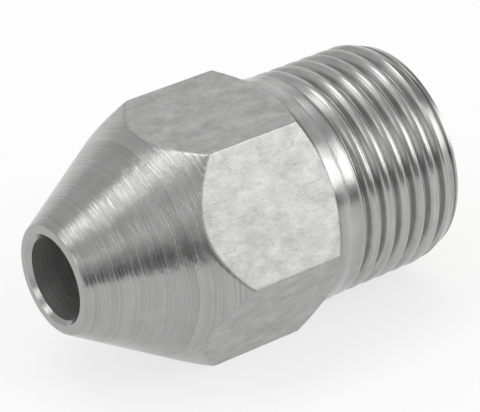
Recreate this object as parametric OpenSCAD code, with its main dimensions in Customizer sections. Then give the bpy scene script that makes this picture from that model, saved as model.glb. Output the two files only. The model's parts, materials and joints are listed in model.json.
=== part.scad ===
// Oil burner nozzle with a pipe thread, lying on one flat of its hexagon.
// The nozzle's axis runs along X: spray outlet at -X, threaded end at +X.
// Oil path, from +X to -X: filter, shut-off valve, lock screw, swirl disc, orifice disc, outlet.

/* [Body] */
// Length of the body, outlet face to threaded end
body_l = 29.4; // [28.9:0.1:32]
// Width of the hexagon across its flats
hex_af = 16.9; // [16.7:0.1:19]
// Distance from the outlet face to the shoulder behind the hexagon
hex_end = 18.6; // [17.8:0.1:19]
// Diameter of the shoulder face behind the hexagon
shoulder_d = 16.3; // [15.8:0.1:16.6]
// Length of the chamfer on the hexagon's rear corners
corner_chamfer = 1.4; // [0.5:0.1:2]

/* [Nose] */
// Outer diameter of the outlet face
nose_d = 7.9; // [7.2:0.1:8.4]
// Diameter of the outlet bore
outlet_d = 6.0; // [4.6:0.1:6.4]
// Depth of the outlet bore, down to the orifice disc
outlet_depth = 7.5; // [6:0.1:7.5]
// Half angle of the nose cone, in degrees
cone_angle = 30.7; // [27:0.1:36]
// Rounding of the outlet rim
rim_r = 0.3; // [0.1:0.05:0.4]

/* [Thread] */
// Outside diameter of the mounting thread
thread_d = 16.662; // [16.4:0.001:16.8]
// Pitch of the mounting thread
thread_pitch = 1.337; // [1:0.001:1.5]
// Depth of the mounting thread
thread_depth = 0.856; // [0.5:0.001:0.9]
// Length of the plain collar between shoulder and thread
collar_l = 0.9; // [0.4:0.1:1.2]
// Diameter of the plain collar
collar_d = 16.8; // [16.7:0.1:16.9]
// Diameter of the threaded end face
end_d = 15.6; // [15.2:0.1:16]
// Length of the lead-in chamfer on the thread
lead_in = 1.5; // [0.8:0.1:2]

/* [Shut-off valve] */
// Travel of the valve piston
valve_travel = 1.0; // [0.4:0.1:1]
// Wire diameter of the valve spring
wire_d = 0.45; // [0.3:0.05:0.5]
// Number of turns in the valve spring
spring_turns = 4.5; // [3.5:0.5:4.5]
// Diameter of the valve piston
piston_d = 10.3; // [10.2:0.02:10.36]
// Diameter of the hole in the valve seat
seat_hole_d = 2.6; // [1.5:0.1:2.8]

/* [Spray parts] */
// Diameter of the spray orifice
orifice_d = 0.5; // [0.3:0.05:1]
// Number of tangential slots in the swirl disc
swirl_slots = 4; // [2:1:6]
// Number of feed holes in the lock screw
feed_holes = 6; // [3:1:8]

/* [Filter] */
// Outer diameter of the filter cup
cup_d = 8.8; // [8:0.1:9]
// Wall thickness of the filter cup
cup_wall = 0.9; // [0.6:0.1:1]

/* [Hidden] */
$fn = 96;
eps = 0.01;
gap = 0.02;                          // radial clearance of a part fitted in its bore

// Distances along the nozzle's axis, from the outlet face
orifice_z = outlet_depth;
swirl_z = orifice_z + 1.8;
lock_z = swirl_z + 1.7;
spring_z = lock_z + 3.5;
piston_z = spring_z + valve_travel + 0.1;
spring_floor_z = spring_z + 3.4;
piston_end = spring_floor_z + 1.3;
seal_z = piston_end - 0.8;
seat_lip_z = seal_z + 1.0;
seat_z = seat_lip_z + 0.5;
seat_end = seat_z + 2.1;
gasket_z = body_l - 3.0;
cup_flange_z = gasket_z + 0.4;
ring_z = cup_flange_z + 1.0;
ring_end = body_l - 0.3;
cup_z = seat_end + 0.6;

// Radii of the bores that the inner parts are fitted in
disc_bore_r = 4.5;
lock_bore_r = 5.0;
piston_bore_r = 5.2;
seat_bore_r = 5.5;
cup_bore_r = 5.9;
ring_bore_r = 6.4;

boss_l = 0.5;                        // boss of the lock screw, which presses on the swirl disc
boss_r = 3.0;
spring_r = 3.05;                     // mean radius of the valve spring
o_ring_wire = 0.38;
o_ring_r = seat_bore_r - gap - o_ring_wire;
thread_r = thread_d / 2;
crest_fall = 0.006;                  // the crests' radius falls by this much towards the threaded end
corner_r = hex_af / 2 / cos(30);
groove_start = hex_end + collar_l + 0.5;   // where the groove's helix crosses the zero angle
run_in_at = 60;                      // angle at which the thread cutter starts to bite

// Lays a part that is drawn along Z down along the nozzle's axis
module lay() {
    translate([-body_l / 2, 0, hex_af / 2]) rotate([0, 90, 0]) children();
}

// A ring or tube between two distances along the axis
module tube(z0, z1, r_out, r_in) {
    difference() {
        translate([0, 0, z0]) cylinder(r = r_out, h = z1 - z0);
        translate([0, 0, z0 - 1]) cylinder(r = r_in, h = z1 - z0 + 2);
    }
}

// Points of an arc about a centre, for a rounded edge of a turned part
function arc(centre, r, from, to, steps = 4) =
    [for (i = [0:steps]) let (a = from + (to - from) * i / steps) centre + r * [cos(a), sin(a)]];

// Cutter of the mounting thread: a V with a narrow flat root, swept along a right-hand helix.
// It sinks to full depth over the first half turn and runs out through the threaded end.
module thread_cutter() {
    per_turn = 36;
    rings = per_turn * ceil((body_l - groove_start) / thread_pitch + 0.5);
    root = thread_pitch * 0.09;
    mouth = thread_pitch * 0.42;
    over = 0.1;
    mouth_over = mouth + over * (mouth - root) / thread_depth;
    outline = [[-thread_depth, -root], [over, -mouth_over], [over, mouth_over], [-thread_depth, root]];
    points = [for (i = [0:rings])
        let (a = run_in_at + i * 360 / per_turn,
             z = groove_start + thread_pitch * a / 360,
             lift = (thread_depth + over) * max(0, 1 - 2 * i / per_turn))
        for (p = outline) let (r = thread_r + p[0] + lift) [r * cos(a), r * sin(a), z + p[1]]];
    side = [for (i = [0:rings - 1]) for (j = [0:3]) let (k = (j + 1) % 4)
        [i * 4 + j, i * 4 + k, (i + 1) * 4 + k, (i + 1) * 4 + j]];
    polyhedron(points, concat(side, [[3, 2, 1, 0], [for (j = [0:3]) rings * 4 + j]]));
}

// Hexagon with the nose cone turned on its front and the chamfer turned on its rear corners
module head() {
    cone_top = (corner_r + 1 - nose_d / 2) / tan(cone_angle);
    rim_centre = [nose_d / 2 + rim_r * (tan(cone_angle) - 1 / cos(cone_angle)), rim_r];
    intersection() {
        rotate_extrude() polygon(concat(
            [[0, 0]],
            arc(rim_centre, rim_r, -90, -cone_angle),
            [[corner_r + 1, cone_top],
             [corner_r + 1, hex_end - corner_chamfer - 1],
             [corner_r, hex_end - corner_chamfer],
             [shoulder_d / 2, hex_end],
             [0, hex_end]]));
        rotate(30) linear_extrude(hex_end) circle(r = corner_r, $fn = 6);
    }
}

// Shank with its plain collar, the thread's helical groove and the lead-in chamfer
module shank() {
    difference() {
        rotate_extrude() polygon([
            [0, hex_end - 1], [collar_d / 2, hex_end - 1], [collar_d / 2, hex_end + collar_l],
            [thread_r, hex_end + collar_l], [thread_r - crest_fall, body_l - lead_in],
            [end_d / 2, body_l],
            [0, body_l]]);
        thread_cutter();
    }
}

// The stepped bore through the body, widening towards the threaded end
module stepped_bore() {
    // each step: radius, start and end along the axis
    steps = [[outlet_d / 2, -1, orifice_z], [disc_bore_r, orifice_z, lock_z],
             [lock_bore_r, lock_z, spring_z], [piston_bore_r, spring_z, seat_z],
             [seat_bore_r, seat_z, seat_end], [cup_bore_r, seat_end, gasket_z],
             [ring_bore_r, gasket_z, body_l + 1]];
    for (s = steps) translate([0, 0, s[1]]) cylinder(r = s[0], h = s[2] - s[1] + eps);
    // countersinks at both mouths
    translate([0, 0, -eps]) cylinder(r1 = outlet_d / 2 + rim_r, r2 = outlet_d / 2, h = rim_r);
    translate([0, 0, body_l - 0.3]) cylinder(r1 = ring_bore_r, r2 = ring_bore_r + 0.3, h = 0.3 + eps);
}

module nozzle_body() {
    color("silver") lay() difference() {
        union() {
            head();
            shank();
        }
        stepped_bore();
    }
}

// Hard disc with the spray orifice: conical inlet behind, flared outlet in front
module orifice_disc() {
    r = disc_bore_r - gap;
    throat = orifice_d / 2;
    color("dimgray") lay() rotate_extrude() polygon([
        [throat + 1.2, orifice_z], [r - 0.2, orifice_z], [r, orifice_z + 0.2],
        [r, swirl_z], [throat + 0.7, swirl_z], [throat, orifice_z + 1.1],
        [throat, orifice_z + 0.8]]);
}

// Disc that sets the oil turning: tangential slots into a round chamber
module swirl_disc() {
    chamber_r = 1.4;
    slot_w = 0.5;
    color("lightsteelblue") lay() difference() {
        translate([0, 0, swirl_z]) cylinder(r = disc_bore_r - gap, h = lock_z - swirl_z);
        translate([0, 0, swirl_z - eps]) cylinder(r = chamber_r, h = 0.9);
        for (i = [0:swirl_slots - 1]) rotate(i * 360 / swirl_slots) {
            translate([0, chamber_r - slot_w, swirl_z - eps]) cube([disc_bore_r, slot_w, 0.6]);
            translate([3.7, chamber_r - 1.1, swirl_z - 1]) cube([2, 1.6, lock_z - swirl_z + 2]);
        }
    }
}

// Screw that clamps both discs: hexagon socket, feed holes and a boss in front
module lock_screw() {
    socket_af = 4;
    feed_r = 4.0;
    color("goldenrod") lay() difference() {
        union() {
            translate([0, 0, lock_z]) cylinder(r = boss_r, h = boss_l + eps);
            translate([0, 0, lock_z + boss_l]) cylinder(r = lock_bore_r - gap, h = 3.5 - boss_l);
        }
        translate([0, 0, spring_z - 2.2]) cylinder(r = socket_af / 2 / cos(30), h = 3, $fn = 6);
        for (i = [0:feed_holes - 1]) rotate(i * 360 / feed_holes)
            translate([feed_r, 0, lock_z - 1]) cylinder(d = 1.1, h = 6, $fn = 32);
    }
}

// Round wire swept along a helix: one ring of points every 15 degrees, closed by end caps
module coil(r, wire, z0, z1, turns) {
    sides = 8;
    rings = round(turns * 24);
    points = [for (i = [0:rings]) let (a = i * 360 * turns / rings,
                                       z = z0 + wire / 2 + (z1 - z0 - wire) * i / rings)
        for (j = [0:sides - 1]) let (b = j * 360 / sides, d = r + wire / 2 * cos(b))
            [d * cos(a), d * sin(a), z + wire / 2 * sin(b)]];
    side = [for (i = [0:rings - 1]) for (j = [0:sides - 1]) let (k = (j + 1) % sides)
        [i * sides + j, i * sides + k, (i + 1) * sides + k, (i + 1) * sides + j]];
    caps = [[for (j = [0:sides - 1]) sides - 1 - j], [for (j = [0:sides - 1]) rings * sides + j]];
    polyhedron(points, concat(side, caps));
}

module valve_spring() {
    color("gray") lay() coil(spring_r, wire_d, spring_z + gap, spring_floor_z - gap, spring_turns);
}

// Cup-shaped piston with flutes for the oil and a pocket for its seal
module valve_piston() {
    flutes = 6;
    color("lightgray") lay() difference() {
        translate([0, 0, piston_z]) cylinder(d = piston_d, h = piston_end - piston_z);
        translate([0, 0, piston_z - 1]) cylinder(r = 3.6, h = spring_floor_z - piston_z + 1);
        translate([0, 0, seal_z]) cylinder(r = 2.4, h = 2);
        for (i = [0:flutes - 1]) rotate(i * 360 / flutes)
            translate([piston_d / 2 + 0.15, 0, piston_z - 1]) cylinder(r = 0.9, h = 8, $fn = 32);
    }
}

module valve_seal() {
    color("sienna") lay() translate([0, 0, seal_z]) cylinder(r = 2.35, h = seat_lip_z - seal_z);
}

// Seat ring with a raised lip that the seal closes on, and a groove for its O-ring
module valve_seat() {
    groove_z = (seat_z + seat_end) / 2;
    lip_r = seat_hole_d / 2 + 0.5;
    color("goldenrod") lay() rotate_extrude() polygon([
        [seat_hole_d / 2, seat_lip_z], [lip_r, seat_lip_z], [lip_r + 0.5, seat_z],
        [seat_bore_r - gap, seat_z], [seat_bore_r - gap, groove_z - 0.5],
        [o_ring_r - 0.4, groove_z - 0.5], [o_ring_r - 0.4, groove_z + 0.5],
        [seat_bore_r - gap, groove_z + 0.5], [seat_bore_r - gap, seat_end],
        [seat_hole_d / 2 + 0.6, seat_end], [seat_hole_d / 2, seat_end - 0.6]]);
}

module seat_o_ring() {
    color("darkslategray") lay() translate([0, 0, (seat_z + seat_end) / 2])
        rotate_extrude() translate([o_ring_r, 0]) circle(r = o_ring_wire, $fn = 32);
}

// Porous cup with a flange, closed towards the valve
module filter_cup() {
    r = cup_d / 2;
    round_r = 1.2;
    color("peru") lay() rotate_extrude() polygon(concat(
        [[0, cup_z]], arc([r - round_r, cup_z + round_r], round_r, -90, 0, 6),
        [[r, cup_flange_z], [ring_bore_r - 0.05, cup_flange_z], [ring_bore_r - 0.05, ring_z],
         [r - cup_wall, ring_z], [r - cup_wall, cup_z + 1.2], [0, cup_z + 1.2]]));
}

module filter_gasket() {
    color("darkorange") lay() tube(gasket_z, cup_flange_z, ring_bore_r - 0.05, cup_d / 2 + 0.2);
}

// Threaded ring that holds the filter, with a slot across it for a driver
module filter_ring() {
    slot_w = 1.6;
    color("gold") lay() difference() {
        tube(ring_z, ring_end, ring_bore_r - gap, 4.2);
        translate([-ring_bore_r, -slot_w / 2, ring_end - 0.6]) cube([2 * ring_bore_r, slot_w, 2]);
    }
}

nozzle_body();
orifice_disc();
swirl_disc();
lock_screw();
valve_spring();
valve_piston();
valve_seal();
valve_seat();
seat_o_ring();
filter_cup();
filter_gasket();
filter_ring();
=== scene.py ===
"""Oil burner nozzle, lying on one flat of its hexagon: outlet at -X, threaded end at +X."""
import json
import math

import bmesh
import bpy
import numpy as np
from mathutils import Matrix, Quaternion, Vector

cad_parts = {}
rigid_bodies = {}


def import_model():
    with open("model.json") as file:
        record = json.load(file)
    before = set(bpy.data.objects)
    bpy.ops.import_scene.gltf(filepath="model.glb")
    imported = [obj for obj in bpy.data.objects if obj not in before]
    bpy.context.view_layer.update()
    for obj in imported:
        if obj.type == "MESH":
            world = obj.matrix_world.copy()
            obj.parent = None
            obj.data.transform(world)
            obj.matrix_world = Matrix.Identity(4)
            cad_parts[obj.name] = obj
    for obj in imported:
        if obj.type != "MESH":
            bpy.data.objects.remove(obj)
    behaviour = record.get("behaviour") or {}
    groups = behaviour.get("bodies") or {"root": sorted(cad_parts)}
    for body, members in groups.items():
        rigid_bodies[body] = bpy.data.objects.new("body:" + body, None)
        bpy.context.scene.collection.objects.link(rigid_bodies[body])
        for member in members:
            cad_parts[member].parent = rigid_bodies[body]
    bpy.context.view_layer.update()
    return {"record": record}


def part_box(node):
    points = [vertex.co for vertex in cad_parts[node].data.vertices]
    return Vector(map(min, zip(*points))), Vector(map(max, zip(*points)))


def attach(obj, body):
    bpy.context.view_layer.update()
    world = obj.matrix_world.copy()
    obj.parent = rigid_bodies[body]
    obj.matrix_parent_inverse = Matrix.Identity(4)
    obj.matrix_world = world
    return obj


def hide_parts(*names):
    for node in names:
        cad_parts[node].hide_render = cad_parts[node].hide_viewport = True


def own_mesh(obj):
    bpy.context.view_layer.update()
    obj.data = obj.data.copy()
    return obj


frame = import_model()

MM = 0.001

# ---------------------------------------------------------------- base colours
CONE_STEEL = (0.375, 0.375, 0.372)
FLAT_STEEL = (0.405, 0.405, 0.402)
THREAD_STEEL = (0.405, 0.405, 0.402)
# lighter than the body's outside steel: painted light inside the shaded bore
BORE_STEEL_PAINTED_LIGHTER = (0.46, 0.46, 0.455)
HARD_STEEL = (0.30, 0.30, 0.33)
STAINLESS = (0.5, 0.5, 0.51)
LAPPED_STAINLESS = (0.46, 0.46, 0.47)
SPRING_STEEL = (0.30, 0.30, 0.31)
BRASS = (0.60, 0.44, 0.20)
BRONZE = (0.42, 0.27, 0.15)
COPPER = (0.62, 0.30, 0.19)
BROWN_RUBBER = (0.10, 0.045, 0.028)
BLACK_RUBBER = (0.028, 0.028, 0.03)

# ---------------------------------------------------------------- sizes, in millimetres
BODY_LO, BODY_HI = (np.array(p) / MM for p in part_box("nozzle_body"))
MOUNTS = {m["name"]: m for m in frame["record"]["mounts"]}
LENGTH = BODY_HI[0] - BODY_LO[0]
AXIS_Z = (BODY_LO[2] + BODY_HI[2]) / 2
APOTHEM = (BODY_HI[2] - BODY_LO[2]) / 2
CORNER_R = APOTHEM / math.cos(math.radians(30))
THREAD_R = MOUNTS["mounting_thread"]["dims"]["r_mm"]
OUTLET_R = MOUNTS["spray_outlet"]["dims"]["r_mm"]

HEX_END = 18.6            # shoulder behind the hexagon, from the outlet face
SHOULDER_R = 8.15         # where the chamfer behind the hexagon ends
CORNER_CHAMFER = 1.4      # length of the chamfer on the hexagon's rear corners
EDGE_R = 0.06             # rounding of the hexagon's long edges
CONE_EDGE = 0.16          # blend between the cone and the flats
CHAMFER_EDGE = 0.05       # blend between the flats and the chamfer behind them
NOSE_R = 3.95             # outlet face
RIM_R = 0.3               # rounding of the outlet face's outer edge
CONE_SLOPE = math.tan(math.radians(30.7))
COLLAR_R = 8.4
COLLAR_END = 19.5         # from the outlet face
PITCH = 1.337
CREST_RADIUS, ROOT_RADIUS = 0.47, 0.1
FLANK_TILT = math.radians(62.5)    # slope of the thread's flanks, from the axis
RUN_IN = 240              # degrees over which the groove reaches its full depth
LAND_TAPER = 0.05         # how much lower than the crests the land behind the collar starts
GROOVE_START = 20.05      # where the groove's helix crosses the lowest line, at -90 degrees
LEAD_IN = 1.5             # length of the chamfer at the threaded end
END_R = 7.8               # outer radius of the threaded end's face
LEAD_IN_EDGE = 0.04       # blend between the crests and the lead-in chamfer
MOUTH_CHAMFER = 0.3       # chamfer at both ends of the bore
# radii of the stepped bore
FILTER_BORE_R, SEAT_BORE_R, VALVE_BORE_R = 6.4, 5.9, 5.5
PISTON_BORE_R, SCREW_BORE_R, DISC_BORE_R = 5.2, 5.0, 4.5
SEAT_DEPTH = 2.1          # length of the part of the bore that holds the seat ring


def from_outlet(node, end):
    """Distance of a CAD node's low (0) or high (1) end from the outlet face."""
    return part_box(node)[end][0] / MM - BODY_LO[0]


# ---------------------------------------------------------------- small helpers

def smooth_min(a, b, k):
    """Smaller of a and b, with the corner between them rounded over k."""
    h = np.maximum(k - np.abs(a - b), 0)
    return np.minimum(a, b) - h * h / (4 * k)


def at(s, r, angle):
    """Row-frame point, in mm, at distance s along the axis, radius r and angle (0 at +Y, 90 at +Z)."""
    a = math.radians(angle)
    return (BODY_LO[0] + s, r * math.cos(a), AXIS_Z + r * math.sin(a))


def new_object(name, bm, materials, body, node):
    """Turns a bmesh in millimetres into a piece in metres that stands for a CAD node."""
    bmesh.ops.scale(bm, vec=(MM, MM, MM), verts=bm.verts)
    mesh = bpy.data.meshes.new(name)
    bm.to_mesh(mesh)
    bm.free()
    obj = bpy.data.objects.new(name, mesh)
    bpy.context.scene.collection.objects.link(obj)
    for m in materials:
        mesh.materials.append(m)
    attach(obj, body)
    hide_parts(node)
    return obj


def shade(bm, degrees):
    """Smooth shading, with edges sharper than the angle kept crisp."""
    limit = math.radians(degrees)
    for f in bm.faces:
        f.smooth = True
    for e in bm.edges:
        e.smooth = not (len(e.link_faces) == 2 and e.calc_face_angle(0) > limit)


# ---------------------------------------------------------------- material nodes

class Nodes:
    """Short calls for building a node tree: sockets go in, a socket comes out."""

    def __init__(self, tree):
        self.tree = tree
        tree.nodes.clear()

    def add(self, kind, inputs=(), out=0, **settings):
        n = self.tree.nodes.new(kind)
        for key, value in settings.items():
            setattr(n, key, value)
        for key, value in dict(inputs).items():
            if isinstance(value, bpy.types.NodeSocket):
                self.tree.links.new(value, n.inputs[key])
            else:
                n.inputs[key].default_value = value
        return n.outputs[out] if n.outputs else n

    def math(self, op, a, b=0.0, c=0.0):
        return self.add("ShaderNodeMath", {0: a, 1: b, 2: c}, operation=op)

    def times_plus(self, a, factor, plus):
        return self.math("MULTIPLY_ADD", a, factor, plus)

    def vary(self, tone, pattern, amount, middle=0.5):
        """The tone made lighter and darker by a pattern round its middle."""
        return self.times_plus(self.math("SUBTRACT", pattern, middle), amount, tone)

    def ramp(self, value, lo, hi, to_lo=0.0, to_hi=1.0):
        return self.add("ShaderNodeMapRange", {"Value": value, "From Min": lo, "From Max": hi,
                        "To Min": to_lo, "To Max": to_hi}, interpolation_type="SMOOTHSTEP")

    def noise(self, place, frequency, detail=3.0, rough=0.5, distortion=0.0):
        """Cloudy noise; the frequency is in cycles per mm, along each axis."""
        return self.add("ShaderNodeTexNoise", {"Vector": self.stretch(place, frequency),
                        "Scale": 1.0, "Detail": detail, "Roughness": rough,
                        "Distortion": distortion})

    def rings(self, along, width, detail, rough):
        """Noise along the axis only, so that it runs round the part as rings."""
        return self.add("ShaderNodeTexNoise", {"W": self.math("DIVIDE", along, width),
                        "Scale": 1.0, "Detail": detail, "Roughness": rough},
                        noise_dimensions="1D")

    def bump(self, height, depth, normal=None):
        """A bump whose depth is in mm."""
        inputs = {"Height": height, "Distance": depth * MM, "Strength": 1.0}
        if normal is not None:
            inputs["Normal"] = normal
        return self.add("ShaderNodeBump", inputs)

    def stretch(self, vector, scale):
        return self.add("ShaderNodeVectorMath", {0: vector, 1: scale}, operation="MULTIPLY")

    def grey(self, value, tint=(1.0, 1.0, 1.0)):
        return self.add("ShaderNodeVectorMath", {0: self.add("ShaderNodeCombineXYZ",
                        {0: value, 1: value, 2: value}), 1: tint}, operation="MULTIPLY")


def new_material(name):
    m = bpy.data.materials.new(name)
    m.use_nodes = True
    n = Nodes(m.node_tree)
    # millimetres in the row frame, so that every pattern has its real size
    place = n.stretch(n.add("ShaderNodeTexCoord", out=3), (1 / MM,) * 3)
    return m, n, place


def finish_metal(n, colour, rough, normal=None, anisotropic=0.0):
    inputs = {"Base Color": colour, "Metallic": 1.0, "Roughness": rough,
              "Anisotropic": anisotropic, "Anisotropic Rotation": 0.25}
    if normal is not None:
        inputs["Normal"] = normal
    if anisotropic:
        inputs["Tangent"] = n.add("ShaderNodeTangent", direction_type="RADIAL", axis="X")
    n.add("ShaderNodeOutputMaterial", {0: n.add("ShaderNodeBsdfPrincipled", inputs)})


def lathe_place(n, place):
    """(distance along the axis plus radius, radius), in mm: what a lathe tool's marks follow."""
    x = n.add("ShaderNodeSeparateXYZ", {0: place})
    across = n.add("ShaderNodeVectorMath", {0: place, 1: (0, 1, 1)}, operation="MULTIPLY")
    radius = n.add("ShaderNodeVectorMath", {0: across, 1: (0, 0, AXIS_Z)}, out=1,
                   operation="DISTANCE")
    return n.math("ADD", x, radius), radius


# where a cut is torn: how far it takes to set in, in mm, and what it adds to the finish
TORN_FADE, TORN_BUMP, TORN_ROUGHNESS = 1.2, 0.5, 0.06
NOWHERE = 100.0           # a radius beyond every piece


def turned_metal(name, colour, rough, feed, depth, anisotropic=0.5, chatter=0.6, contrast=0.5,
                 torn_from=NOWHERE):
    """Lathe-turned metal: rings at the tool's feed, uneven from ring to ring and round the part.

    The feed and the depth of the marks are in mm. Beyond the radius torn_from the tool only meets
    the hexagon's corners and leaves them rougher.
    """
    m, n, place = new_material(name)
    along, radius = lathe_place(n, place)
    torn = n.ramp(radius, torn_from, torn_from + TORN_FADE)
    drift = n.noise(place, (0.3, 0.3, 0.3), 2.0)
    along = n.times_plus(drift, feed * 2.0, along)
    rings = n.rings(along, feed, 3.0, 0.6)
    bands = n.rings(along, feed * 7, 2.0, 0.5)
    patch = n.noise(place, (1.6, 0.5, 0.5), 3.0)
    marks = n.math("MULTIPLY", rings, n.ramp(patch, 0.35, 0.65, 1.0 - chatter, 1.0))
    handling = n.noise(place, (0.8, 0.8, 0.8), 5.0, 0.65)
    tone = n.vary(1.0, bands, contrast)
    ring_tone = n.math("MULTIPLY", n.math("SUBTRACT", rings, 0.5), n.math("ADD", torn, 1.0))
    tone = n.times_plus(ring_tone, contrast, tone)
    tone = n.vary(tone, handling, contrast)
    normal = n.bump(n.math("MULTIPLY", marks, n.times_plus(torn, TORN_BUMP, 1.0)), depth)
    uneven = n.times_plus(handling, 0.16, rough - 0.08)
    finish_metal(n, n.grey(tone, colour), n.times_plus(torn, TORN_ROUGHNESS, uneven),
                 normal, anisotropic)
    return m


def drawn_bar(name, colour, rough):
    """Flats of cold-drawn bar: cloudy mottling, shallow waves and fine scratches both ways."""
    m, n, place = new_material(name)
    cloud = n.noise(place, (0.7, 0.9, 0.9), 4.0, 0.6, 0.2)
    grain = n.noise(place, (3.0, 5.0, 5.0), 3.0, 0.65)
    scratches = 0.5
    for frequency in ((1.0, 9.0, 9.0), (7.0, 1.5, 1.5)):       # along the bar, then across it
        thin = n.noise(place, frequency, 2.0, 0.7, 0.4)
        scratches = n.math("ADD", scratches, n.ramp(thin, 0.62, 0.72))
    tone = n.vary(1.0, cloud, 0.8)
    tone = n.vary(tone, grain, 0.6)
    tone = n.times_plus(scratches, -0.08, tone)
    normal = n.bump(cloud, 0.017)
    normal = n.bump(grain, 0.006, normal)
    normal = n.bump(scratches, -0.003, normal)
    finish_metal(n, n.grey(tone, colour), n.times_plus(grain, 0.2, rough - 0.1), normal)
    return m


def lapped_steel(name, colour, rough):
    """Hard steel ground and lapped flat: faint crossing scratches and darker stains."""
    m, n, place = new_material(name)
    one_way = n.noise(place, (2.0, 20.0, 3.0), 3.0, 0.7)
    other_way = n.noise(place, (2.0, 3.0, 20.0), 3.0, 0.7)
    stain = n.noise(place, (0.6, 0.6, 0.6), 4.0)
    lap = n.math("ADD", one_way, other_way)
    tone = n.vary(1.0, stain, 0.5)
    tone = n.vary(tone, lap, 0.2, middle=1.0)
    finish_metal(n, n.grey(tone, colour), n.times_plus(stain, 0.2, rough - 0.1),
                 n.bump(lap, 0.002))
    return m


def drawn_wire(name, colour):
    """Spring wire: a dark drawn skin with speckles and brighter rubbed spots."""
    m, n, place = new_material(name)
    speckle = n.noise(place, (7.0, 7.0, 7.0), 4.0, 0.7)
    rubbed = n.noise(place, (1.1, 1.1, 1.1), 2.0)
    tone = n.times_plus(n.ramp(rubbed, 0.5, 0.7), 0.5, 0.8)
    tone = n.vary(tone, speckle, 0.5)
    finish_metal(n, n.grey(tone, colour), n.times_plus(speckle, 0.3, 0.2),
                 n.bump(speckle, 0.004))
    return m


def sintered_bronze(name, colour):
    """Filter cup: bronze grains fused together, with painted shade darkening the pores between them.
    """
    m, n, place = new_material(name)
    grains = n.add("ShaderNodeTexVoronoi", {"Vector": place, "Scale": 6.0}, feature="SMOOTH_F1")
    batch = n.noise(place, (1.4, 1.4, 1.4), 3.0)
    pores = n.ramp(grains, 0.42, 0.75)
    # painted shade: the colour is darkened in the pores between the grains
    tone = n.times_plus(pores, -0.65, 1.0)
    tone = n.vary(tone, batch, 0.5)
    finish_metal(n, n.grey(tone, colour), n.times_plus(pores, 0.3, 0.42),
                 n.bump(n.math("MULTIPLY", grains, -1.0), 0.06))
    return m


def moulded_rubber(name, colour):
    """Rubber seals: near-black, matt, with a bloom of fine dust and moulding grain."""
    m, n, place = new_material(name)
    bloom = n.noise(place, (1.2, 1.2, 1.2), 4.0, 0.6)
    grain = n.noise(place, (12.0, 12.0, 12.0), 3.0)
    tone = n.vary(1.0, bloom, 0.9)
    n.add("ShaderNodeOutputMaterial", {0: n.add("ShaderNodeBsdfPrincipled", {
        "Base Color": n.grey(tone, colour), "Metallic": 0.0,
        "Roughness": n.times_plus(bloom, 0.3, 0.4),
        "Normal": n.bump(grain, 0.004)})})
    return m


# ---------------------------------------------------------------- the body

def column_angles():
    """Angles round the axis, from -30 degrees: close together at the hexagon's corners."""
    near = [0.0, 0.35, 0.7, 1.3]
    sector = near + list(np.linspace(2.6, 57.4, 30)) + [60 - a for a in reversed(near[1:])]
    turn = [60 * k + a for k in range(6) for a in sector]
    return np.array(sorted((a + 30) % 360 - 30 for a in turn))


def hexagon_radius(angle):
    """Radius of the hexagon at an angle, with its corners rounded to EDGE_R."""
    off = np.abs((angle % 60) - 30)                      # from the middle of the flat
    flat = APOTHEM / np.cos(np.radians(off))
    from_corner = np.radians(30 - off)
    centre = CORNER_R - EDGE_R / math.sin(math.radians(60))
    inside = EDGE_R**2 - (centre * np.sin(from_corner))**2
    rounded = centre * np.cos(from_corner) + np.sqrt(np.maximum(inside, 0))
    tangent = math.atan2(EDGE_R / 2, centre + EDGE_R * math.cos(math.radians(30)))
    return np.where(from_corner < tangent, rounded, flat)


def groove_depth(x):
    """Depth of the thread at distance x from its groove's middle: round crest, flank, round root."""
    side, rise = math.sin(FLANK_TILT), 1 - math.cos(FLANK_TILT)
    from_crest = PITCH / 2 - np.abs(x)
    on_crest = np.minimum(from_crest, CREST_RADIUS * side)
    on_root = np.clip(np.abs(x), 0, ROOT_RADIUS * side)
    flank = from_crest - on_crest - (ROOT_RADIUS * side - on_root)
    crest = CREST_RADIUS - np.sqrt(CREST_RADIUS**2 - on_crest**2)
    root = ROOT_RADIUS * rise - (ROOT_RADIUS - np.sqrt(ROOT_RADIUS**2 - on_root**2))
    return crest + flank * math.tan(FLANK_TILT) + root


class Skin:
    """The body's surface as rings of vertices round the axis, joined one after another."""

    def __init__(self):
        self.bm = bmesh.new()
        self.angles = column_angles()
        self.count = len(self.angles)
        self.last = None

    def vert(self, s, r, angle):
        return self.bm.verts.new(at(s, r, angle))

    def ring(self, s, r):
        """A ring; s and r are one number or one for each column."""
        s = np.broadcast_to(s, self.count)
        r = np.broadcast_to(r, self.count)
        return [self.vert(*p) for p in zip(s, r, self.angles)]

    def add(self, s, r, material):
        ring = self.ring(s, r)
        if self.last:
            self.join(self.last, ring, material)
        self.last = ring

    def join(self, a, b, material):
        for i in range(self.count):
            k = (i + 1) % self.count
            self.face([a[i], a[k], b[k], b[i]], material)

    def face(self, verts, material):
        self.bm.faces.new(verts).material_index = material


TURNED, FLAT, THREAD, BORED = range(4)


def add_bores(skin):
    """From the threaded end back to the outlet, along the stepped bore."""
    seat_end = from_outlet("valve_seat", 1)
    steps = [(FILTER_BORE_R, from_outlet("filter_gasket", 0)), (SEAT_BORE_R, seat_end),
             (VALVE_BORE_R, seat_end - SEAT_DEPTH), (PISTON_BORE_R, from_outlet("lock_screw", 1)),
             (SCREW_BORE_R, from_outlet("swirl_disc", 1)),
             (DISC_BORE_R, from_outlet("orifice_disc", 0)), (OUTLET_R, MOUTH_CHAMFER)]
    skin.add(LENGTH - MOUTH_CHAMFER, steps[0][0], BORED)
    for (r, s), (r_next, _) in zip(steps, steps[1:]):
        skin.add(s, r, BORED)
        skin.add(s, r_next, BORED)
    skin.add(MOUTH_CHAMFER, OUTLET_R, BORED)


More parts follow.
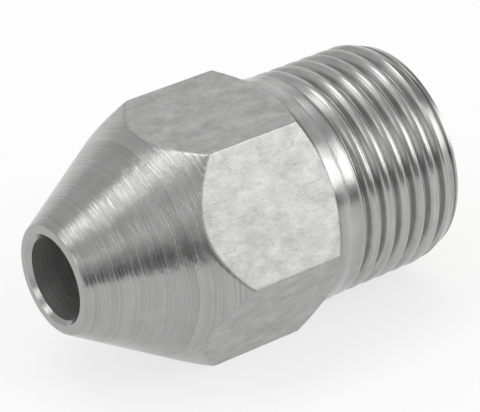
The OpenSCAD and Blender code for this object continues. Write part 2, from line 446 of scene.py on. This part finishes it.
def add_head(skin):
    """Outlet face, nose cone, hexagon and the chamfer on its rear corners."""
    skin.add(0.0, OUTLET_R + MOUTH_CHAMFER, TURNED)
    cone_angle = math.atan(CONE_SLOPE)
    rim_centre = NOSE_R + RIM_R * (CONE_SLOPE - 1 / math.cos(cone_angle))
    for a in np.linspace(-math.pi / 2, -cone_angle, 6):
        skin.add(RIM_R * (1 + math.sin(a)), rim_centre + RIM_R * math.cos(a), TURNED)
    hexagon = hexagon_radius(skin.angles)
    cone_end = (hexagon - NOSE_R) / CONE_SLOPE
    chamfer_slope = (CORNER_R - SHOULDER_R) / CORNER_CHAMFER
    flat_end = HEX_END - (hexagon - SHOULDER_R) / chamfer_slope
    collar_at = HEX_END - (COLLAR_R - SHOULDER_R) / chamfer_slope

    def outer(s):
        front = smooth_min(NOSE_R + CONE_SLOPE * s, hexagon, CONE_EDGE)
        return smooth_min(front, SHOULDER_R + chamfer_slope * (HEX_END - s), CHAMFER_EDGE)

    for t in np.linspace(0, 1, 14)[1:-1]:
        s = 0.6 + (cone_end - 1.0) * t
        skin.add(s, outer(s), TURNED)
    # rings close together where the cone meets the flats
    for d in (-0.28, -0.2, -0.13, -0.06, 0.0, 0.06, 0.13, 0.2, 0.28):
        skin.add(cone_end + d, outer(cone_end + d), TURNED if d < 0.03 else FLAT)
    length = flat_end - cone_end
    for t in np.linspace(0, 1, 8)[1:-1]:
        s = cone_end + 0.35 + (length - 0.55) * t
        skin.add(s, outer(s), FLAT)
    # and where the flats meet the chamfer
    for d in (-0.12, -0.05, 0.0, 0.04):
        skin.add(flat_end + d, outer(flat_end + d), FLAT if d < 0.02 else TURNED)
    skin.add(collar_at, COLLAR_R, TURNED)


def add_collar(skin):
    """Plain collar and the small step that parts it from the thread's land."""
    skin.add(COLLAR_END - 0.1, COLLAR_R, THREAD)
    skin.add(COLLAR_END - 0.03, COLLAR_R - 0.015, THREAD)
    skin.add(COLLAR_END + 0.03, THREAD_R - LAND_TAPER - 0.01, THREAD)
    skin.add(COLLAR_END + 0.1, THREAD_R - LAND_TAPER, THREAD)


def add_thread(skin):
    """One helical strip, crest to crest, wound turn after turn past the threaded end."""
    # shares of the pitch, closest together at the root
    profile = np.array([0.0, 0.06, 0.12, 0.18, 0.24, 0.29, 0.34, 0.38, 0.41, 0.44, 0.46, 0.48,
                        0.5, 0.52, 0.54, 0.56, 0.59, 0.62, 0.66, 0.71, 0.76, 0.82, 0.88, 0.94])
    turns = math.ceil((LENGTH - GROOVE_START) / PITCH) + 2
    total = skin.count * turns
    taper = (THREAD_R - END_R) / LEAD_IN
    strip = []
    for i in range(total + 1):
        turn, column = divmod(i, skin.count)
        angle = skin.angles[column] + 360 * turn
        middle = GROOVE_START + PITCH * (angle + 90) / 360
        run_in = min(1.0, (angle - skin.angles[0]) / RUN_IN)
        x = (profile - 0.5) * PITCH
        depth = groove_depth(x) * (3 * run_in**2 - 2 * run_in**3)
        s = middle + x
        r = smooth_min(THREAD_R - depth, END_R + taper * (LENGTH - s), LEAD_IN_EDGE)
        strip.append([skin.vert(a, b, angle) for a, b in zip(s, r)])
    start = skin.last
    # the land between the collar and the first turn
    for i in range(skin.count - 1):
        skin.face([start[i], start[i + 1], strip[i + 1][0], strip[i][0]], THREAD)
    end = skin.count
    skin.face([start[-1], start[0], *strip[0], strip[end][0], strip[end - 1][0]], THREAD)
    # each row ends on the first vertex of the same column one turn later
    for i in range(total - skin.count):
        row = strip[i] + [strip[i + skin.count][0]]
        row_next = strip[i + 1] + [strip[i + 1 + skin.count][0]]
        for j in range(len(profile)):
            skin.face([row[j], row_next[j], row_next[j + 1], row[j + 1]], THREAD)
    unused = [v for v in skin.bm.verts if not v.link_faces]
    bmesh.ops.delete(skin.bm, geom=unused, context="VERTS")


def close_threaded_end(skin, inner):
    """Cuts the thread off at the end face and fills the face in to the bore."""
    bm = skin.bm
    cut = bmesh.ops.bisect_plane(bm, geom=bm.verts[:] + bm.edges[:] + bm.faces[:], dist=1e-6,
                                 plane_co=at(LENGTH, 0, 0), plane_no=(1, 0, 0), clear_outer=True)
    rim = {e for e in cut["geom_cut"] if isinstance(e, bmesh.types.BMEdge) and e.is_boundary}
    rim |= {e for e in bm.edges if e.is_boundary and set(e.verts) <= inner}
    fill = bmesh.ops.triangle_fill(bm, edges=list(rim), use_beauty=True)
    for f in fill["geom"]:
        if isinstance(f, bmesh.types.BMFace):
            f.material_index = TURNED


def make_body():
    skin = Skin()
    inner = skin.ring(LENGTH, FILTER_BORE_R + MOUTH_CHAMFER)
    skin.last = inner
    add_bores(skin)
    add_head(skin)
    add_collar(skin)
    add_thread(skin)
    close_threaded_end(skin, set(inner))
    bmesh.ops.recalc_face_normals(skin.bm, faces=skin.bm.faces)
    open_edges = sum(not e.is_manifold for e in skin.bm.edges)
    print("nozzle_body:", len(skin.bm.faces), "faces,", open_edges, "open edges")
    shade(skin.bm, 24)
    materials = [turned_metal("turned_cone", CONE_STEEL, rough=0.21, feed=0.26, depth=0.035,
                              chatter=0.7, contrast=0.32, torn_from=6.3),
                 drawn_bar("drawn_flats", FLAT_STEEL, rough=0.38),
                 turned_metal("turned_thread", THREAD_STEEL, rough=0.23, feed=0.12, depth=0.01,
                              anisotropic=0.3, contrast=0.45),
                 # the bore's lighter colour is painted light in its shade
                 turned_metal("bored_inside", BORE_STEEL_PAINTED_LIGHTER, rough=0.5, feed=0.3, depth=0.02,
                              anisotropic=0.2, chatter=0.5, contrast=0.4)]
    return new_object("body_shell", skin.bm, materials, "housing", "nozzle_body")


# ---------------------------------------------------------------- inner pieces

def lathe(profile, segments=96):
    """A solid of revolution from (distance, radius) points that run round its section once."""
    bm = bmesh.new()
    rings = []
    for s, r in profile:
        if r == 0:
            rings.append([bm.verts.new(at(s, 0, 0))] * segments)
        else:
            rings.append([bm.verts.new(at(s, r, 360 * i / segments)) for i in range(segments)])
    closed = profile[0][1] > 0
    for a, b in zip(rings, rings[1:] + rings[:1] if closed else rings[1:]):
        for i in range(segments):
            k = (i + 1) % segments
            corners = dict.fromkeys([a[i], a[k], b[k], b[i]])
            if len(corners) > 2:
                bm.faces.new(corners)
    bmesh.ops.recalc_face_normals(bm, faces=bm.faces)
    return bm


def prism(s0, s1, corners):
    """A straight-sided cutter between two distances along the axis; corners are (radius, angle)."""
    bm = bmesh.new()
    low = [bm.verts.new(at(s0, r, a)) for r, a in corners]
    high = [bm.verts.new(at(s1, r, a)) for r, a in corners]
    bm.faces.new(low)
    bm.faces.new(high)
    for i in range(len(low)):
        k = (i + 1) % len(low)
        bm.faces.new([low[i], low[k], high[k], high[i]])
    bmesh.ops.recalc_face_normals(bm, faces=bm.faces)
    return bm


def rectangle(y0, y1, z0, z1, turn=0.0):
    """Corners of a rectangle across the axis, as (radius, angle)."""
    points = [(y0, z0), (y1, z0), (y1, z1), (y0, z1)]
    return [(math.hypot(y, z), math.degrees(math.atan2(z, y)) + turn) for y, z in points]


def circle(centre_r, centre_angle, r, segments=24):
    """Points of a round hole's edge, as (radius, angle)."""
    a = math.radians(centre_angle)
    points = []
    for i in range(segments):
        b = 2 * math.pi * i / segments
        y, z = centre_r * math.cos(a) + r * math.cos(b), centre_r * math.sin(a) + r * math.sin(b)
        points.append((math.hypot(y, z), math.degrees(math.atan2(z, y))))
    return points


def as_object(bm, name):
    mesh = bpy.data.meshes.new(name)
    bm.to_mesh(mesh)
    bm.free()
    obj = bpy.data.objects.new(name, mesh)
    bpy.context.scene.collection.objects.link(obj)
    return obj


def machined(bm, cutters=(), edge=0.05):
    """Cuts the cutters out of a solid and breaks its sharp edges by a small bevel."""
    work = as_object(bm, "work")
    tools = [as_object(c, "tool") for c in cutters]
    for tool in tools:
        cut = work.modifiers.new("cut", "BOOLEAN")
        cut.object, cut.operation, cut.solver = tool, "DIFFERENCE", "EXACT"
    bevel = work.modifiers.new("edge", "BEVEL")
    bevel.width, bevel.segments, bevel.angle_limit = edge, 2, math.radians(28)
    bevel.limit_method = "ANGLE"
    depsgraph = bpy.context.evaluated_depsgraph_get()
    result = bmesh.new()
    result.from_mesh(work.evaluated_get(depsgraph).to_mesh())
    for o in [work] + tools:
        mesh = o.data
        bpy.data.objects.remove(o)
        bpy.data.meshes.remove(mesh)
    shade(result, 35)
    return result


def make_orifice_disc():
    """Hard disc with the spray orifice: flared outlet in front, conical inlet behind."""
    lo, hi, r, throat = from_outlet("orifice_disc", 0), from_outlet("orifice_disc", 1), 4.48, 0.25
    flare = [(lo + 0.8 * (1 - t) ** 1.6, throat + 1.2 * t) for t in np.linspace(0, 1, 9)]
    profile = flare + [(lo, r - 0.2), (lo + 0.2, r), (hi, r), (hi, throat + 0.7),
                       (lo + 1.1, throat)]
    new_object("spray_disc", machined(lathe(profile), edge=0.03),
               [lapped_steel("hard_lapped_steel", HARD_STEEL, rough=0.26)],
               "housing", "orifice_disc")


def make_swirl_disc():
    """Disc that sets the oil turning: tangential slots into a round chamber."""
    lo, hi = from_outlet("swirl_disc", 0), from_outlet("swirl_disc", 1)
    r, chamber, slot = 4.48, 1.4, 0.5
    cutters = [prism(lo - 1, lo + 0.9, circle(0, 0, chamber, 48))]
    for i in range(4):
        turn = 90 * i
        cutters.append(prism(lo - 1, lo + 0.6, rectangle(0, r + 1, chamber - slot, chamber, turn)))
        cutters.append(prism(lo - 1, hi + 1, rectangle(3.7, r + 1, chamber - 1.1, chamber + 0.5,
                                                       turn)))
    new_object("swirl_plate", machined(lathe([(lo, 0), (lo, r), (hi, r), (hi, 0)]), cutters, 0.03),
               [lapped_steel("stainless_lapped", LAPPED_STAINLESS, rough=0.3)],
               "housing", "swirl_disc")


def make_lock_screw(brass):
    """Screw that clamps both discs: hexagon socket, feed holes and a boss in front."""
    lo, hi, r, boss = from_outlet("lock_screw", 0), from_outlet("lock_screw", 1), 4.98, 3.0
    profile = [(lo, 0), (lo, boss), (lo + 0.5, boss), (lo + 0.5, r), (hi, r), (hi, 0)]
    socket = [(2 / math.cos(math.radians(30)), 60 * i) for i in range(6)]
    cutters = [prism(hi - 2.2, hi + 1, socket)]
    cutters += [prism(lo - 1, hi + 1, circle(4.0, 60 * i, 0.55)) for i in range(6)]
    new_object("clamp_screw", machined(lathe(profile), cutters), [brass],
               "housing", "lock_screw")


def make_valve_piston(stainless):
    """Cup-shaped piston with flutes for the oil and a pocket for its seal."""
    lo, hi, r = from_outlet("valve_piston", 0), from_outlet("valve_piston", 1), 5.15
    cup_floor, pocket = from_outlet("valve_spring", 1) + 0.02, from_outlet("valve_seal", 0)
    profile = [(lo, 3.6), (lo, r), (hi, r), (hi, 2.4), (pocket, 2.4), (pocket, 0)]
    bm = lathe([(cup_floor, 0), (cup_floor, 3.6)] + profile)
    cutters = [prism(lo - 1, hi + 1, circle(r + 0.15, 60 * i, 0.9)) for i in range(6)]
    new_object("fluted_piston", machined(bm, cutters), [stainless],
               "valve", "valve_piston")


def make_valve_seal():
    """Rubber disc in the piston's pocket, with a rounded edge and the ring the seat has pressed."""
    lo, hi, r, edge = from_outlet("valve_seal", 0), from_outlet("valve_seal", 1), 2.35, 0.15
    corner = [(hi - edge * (1 - math.sin(a)), r - edge * (1 - math.cos(a)))
              for a in np.radians([0, 30, 60, 90])]
    dent = [(hi - 0.03 * math.sin(t * math.pi), 1.85 - 0.55 * t) for t in np.linspace(0, 1, 7)]
    bm = lathe([(lo, 0), (lo, r)] + corner + dent + [(hi, 0)])
    shade(bm, 35)
    new_object("valve_pad", bm, [moulded_rubber("brown_rubber", BROWN_RUBBER)],
               "valve", "valve_seal")


def make_valve_seat(brass):
    """Seat ring with a raised lip that the seal closes on, and a groove for its O-ring."""
    lip, hi, r, hole = from_outlet("valve_seat", 0), from_outlet("valve_seat", 1), 5.48, 1.3
    face, groove = lip + 0.5, (lip + 0.5 + hi) / 2
    profile = [(lip, hole), (lip, hole + 0.5), (face, hole + 1.0), (face, r), (groove - 0.5, r),
               (groove - 0.5, 4.7), (groove + 0.5, 4.7), (groove + 0.5, r), (hi, r),
               (hi, hole + 0.6), (hi - 0.6, hole)]
    new_object("seat_ring", machined(lathe(profile), edge=0.04), [brass],
               "housing", "valve_seat")


def make_seat_o_ring():
    """O-ring with the fine flash line of its mould."""
    lo, hi = from_outlet("seat_o_ring", 0), from_outlet("seat_o_ring", 1)
    wire, middle, ring_r = (hi - lo) / 2, (lo + hi) / 2, 5.1
    profile = []
    for i in range(32):
        a = 2 * math.pi * i / 32
        flash = 0.995 if i % 16 else 0.985
        profile.append((middle + wire * flash * math.cos(a), ring_r + wire * flash * math.sin(a)))
    bm = lathe(profile)
    shade(bm, 60)
    new_object("o_ring", bm, [moulded_rubber("black_rubber", BLACK_RUBBER)],
               "housing", "seat_o_ring")


def make_filter_cup():
    """Sintered cup with a flange, closed and rounded towards the valve."""
    lo, hi, r, flange_r, wall = (from_outlet("filter_cup", 0), from_outlet("filter_cup", 1), 4.4,
                                 6.35, 0.9)
    outer = [(lo + 1.2 * (1 - math.cos(a)), r - 1.2 * (1 - math.sin(a)))
             for a in np.radians(np.linspace(0, 90, 8))]
    inner = [(lo + 1.2 + 0.5 * (1 - math.sin(a)), r - wall - 0.5 * (1 - math.cos(a)))
             for a in np.radians(np.linspace(0, 90, 6))]
    profile = [(lo, 0)] + outer + [(hi - 1.0, r), (hi - 1.0, flange_r), (hi, flange_r),
                                   (hi, r - wall)] + inner + [(lo + 1.2, 0)]
    new_object("strainer", machined(lathe(profile, 128), edge=0.12),
               [sintered_bronze("sintered_grains", BRONZE)],
               "housing", "filter_cup")


def make_filter_gasket():
    """Soft copper ring, its edges rounded by stamping."""
    lo, hi = from_outlet("filter_gasket", 0), from_outlet("filter_gasket", 1)
    inner, r = 4.6, 6.35
    copper = turned_metal("annealed_copper", COPPER, rough=0.4, feed=0.3, depth=0.006)
    new_object("copper_washer", machined(lathe([(lo, inner), (lo, r), (hi, r), (hi, inner)]),
               edge=0.09), [copper], "housing", "filter_gasket")


def make_filter_ring(brass):
    """Threaded ring that holds the filter, with a driver slot across its face."""
    lo, hi, inner, r = from_outlet("filter_ring", 0), from_outlet("filter_ring", 1), 4.2, 6.38
    profile = [(lo, inner), (lo, r), (hi, r), (hi, inner + 0.2), (hi - 0.2, inner)]
    slot = prism(hi - 0.6, hi + 1, rectangle(-7, 7, -0.8, 0.8))
    new_object("slotted_ring", machined(lathe(profile, 128), [slot], 0.07), [brass],
               "housing", "filter_ring")


def make_valve_spring():
    """Round wire on a helix whose end turns close up; the real spring is squashed as the valve opens.
    """
    lo, hi = from_outlet("valve_spring", 0), from_outlet("valve_spring", 1)
    coil_r, wire, turns, sides, per_turn = 3.05, 0.225, 4.5, 14, 40
    bm = bmesh.new()
    rings = []
    count = int(turns * per_turn)
    span = hi - lo - 2 * wire
    for i in range(count + 1):
        t = i / count
        # slower at both ends, so that the first and last turns lie nearly flat
        ease = t - 0.7 * math.sin(2 * math.pi * t) / (2 * math.pi)
        s, turn = lo + wire + span * ease, 360 * turns * t
        ring = []
        for j in range(sides):
            b = 2 * math.pi * j / sides
            ring.append(bm.verts.new(at(s + wire * math.sin(b), coil_r + wire * math.cos(b), turn)))
        rings.append(ring)
    for a, b in zip(rings, rings[1:]):
        for j in range(sides):
            k = (j + 1) % sides
            bm.faces.new([a[j], a[k], b[k], b[j]])
    bm.faces.new(rings[0])
    bm.faces.new(rings[-1])
    bmesh.ops.recalc_face_normals(bm, faces=bm.faces)
    shade(bm, 50)
    spring = new_object("coil_spring", bm, [drawn_wire("spring_wire", SPRING_STEEL)],
                        "housing", "valve_spring")
    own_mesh(spring)


# ---------------------------------------------------------------- stage, light and camera

FLOOR_HALF = 3.0          # half of the floor's width, in metres
FLOOR_COLOUR, FLOOR_GLOW = (0.25, 0.25, 0.25, 1.0), 0.715
SURROUND = 0.71           # brightness of the surround away from the lights
# Lights and dark gaps painted on the surround: azimuth, elevation, radius of the full patch,
# radius where it ends, all in degrees, and the brightness added.
PATCHES = [
    (35, 28, 9, 16, 2.6),         # soft box on the right, for the bright flat
    (42, 43, 6, 14, 1.8),         # its upper end
    (74, 12, 8, 17, 2.0),         # its spill to the right
    (-113, 66, 5, 24, 0.7),       # soft box high on the left, for the cone's top
    (-175, 77, 7, 18, 2.0),       # its spill overhead and behind, for the thread's crests
    (148, 69, 6, 15, 0.9),
    (-111, 40, 5, 12, 1.8),       # lamp on the left, for the glint on the outlet's rim
    (-40, 37, 3, 11, 0.3),        # faint spill in front and behind
    (116, 55, 3, 13, 0.4),
    (145, 27, 8, 20, 0.3),        # pale wall behind
    (172, 0, 8, 22, 0.25),
    (-100, 6, 10, 30, 0.35),      # pale wall on the left
    (-73, 27, 5, 12, 1.5),        # narrow lamp on the left, for the streaks on the cone
    (35, 66, 6, 14, -0.2),        # gaps between the soft boxes
    (107, 22, 12, 22, -0.35),
    (-28, 6, 9, 20, -0.36),       # dark front
    (-33, 16, 8, 25, -0.22),
    (2, 12, 8, 20, -0.5),
    (30, 3, 7, 13, -0.62)]


def direction(azimuth, elevation):
    """Unit vector towards a place seen from the object; azimuth 0 is -Y and 90 is +X."""
    a, e = math.radians(azimuth), math.radians(elevation)
    return Vector((math.sin(a) * math.cos(e), -math.cos(a) * math.cos(e), math.sin(e)))


def make_studio():
    """A pale floor under an even grey surround, with soft boxes painted on the surround."""
    bm = bmesh.new()
    bmesh.ops.create_grid(bm, x_segments=1, y_segments=1, size=FLOOR_HALF)
    mesh = bpy.data.meshes.new("floor")
    bm.to_mesh(mesh)
    bm.free()
    floor = bpy.data.objects.new("floor", mesh)
    bpy.context.scene.collection.objects.link(floor)
    m = bpy.data.materials.new("pale_floor")
    m.use_nodes = True
    n = Nodes(m.node_tree)
    # a lit sheet of opal acrylic, so that shadows on it stay faint
    sheet = n.add("ShaderNodeBsdfDiffuse", {"Color": FLOOR_COLOUR})
    glow = n.add("ShaderNodeEmission", {"Strength": FLOOR_GLOW})
    n.add("ShaderNodeOutputMaterial", {0: n.add("ShaderNodeAddShader", {0: sheet, 1: glow})})
    mesh.materials.append(m)

    world = bpy.data.worlds.new("studio")
    bpy.context.scene.world = world
    world.use_nodes = True
    n = Nodes(world.node_tree)
    towards = n.add("ShaderNodeTexCoord", out=0)

    def patch(azimuth, elevation, inner, outer):
        """1 inside a round patch of the surround, fading to 0 between the two radii."""
        dot = n.add("ShaderNodeVectorMath", {0: towards, 1: direction(azimuth, elevation)},
                    out=1, operation="DOT_PRODUCT")
        return n.ramp(dot, math.cos(math.radians(outer)), math.cos(math.radians(inner)))

    total = SURROUND
    for azimuth, elevation, inner, outer, strength in PATCHES:
        total = n.times_plus(patch(azimuth, elevation, inner, outer), strength, total)
    light = n.add("ShaderNodeBackground", {"Color": n.grey(total), "Strength": 1.0})
    n.add("ShaderNodeOutputWorld", {0: light})


def make_camera():
    """A long lens, above and in front of the outlet's side of the nozzle."""
    azimuth, elevation, roll = -36.4, 30.15, -1.06
    distance, lens = 207.8 * MM, 221.6
    aim = Vector((0.9, -0.4, 8.8)) * MM
    back = direction(azimuth, elevation)
    cam = bpy.data.cameras.new("camera")
    cam.lens = lens
    cam.clip_start = 0.01
    obj = bpy.data.objects.new("camera", cam)
    bpy.context.scene.collection.objects.link(obj)
    obj.rotation_mode = "QUATERNION"
    level = (-back).to_track_quat("-Z", "Y")
    obj.rotation_quaternion = Quaternion(back, math.radians(roll)) @ level
    obj.location = aim + back * distance
    bpy.context.scene.camera = obj


make_camera()
make_studio()
make_body()
brass = turned_metal("turned_brass", BRASS, rough=0.32, feed=0.15, depth=0.008)
stainless = turned_metal("turned_stainless", STAINLESS, rough=0.28, feed=0.12, depth=0.006)
make_orifice_disc()
make_swirl_disc()
make_lock_screw(brass)
make_valve_spring()
make_valve_piston(stainless)
make_valve_seal()
make_valve_seat(brass)
make_seat_o_ring()
make_filter_cup()
make_filter_gasket()
make_filter_ring(brass)
bpy.context.scene.view_settings.view_transform = "Standard"
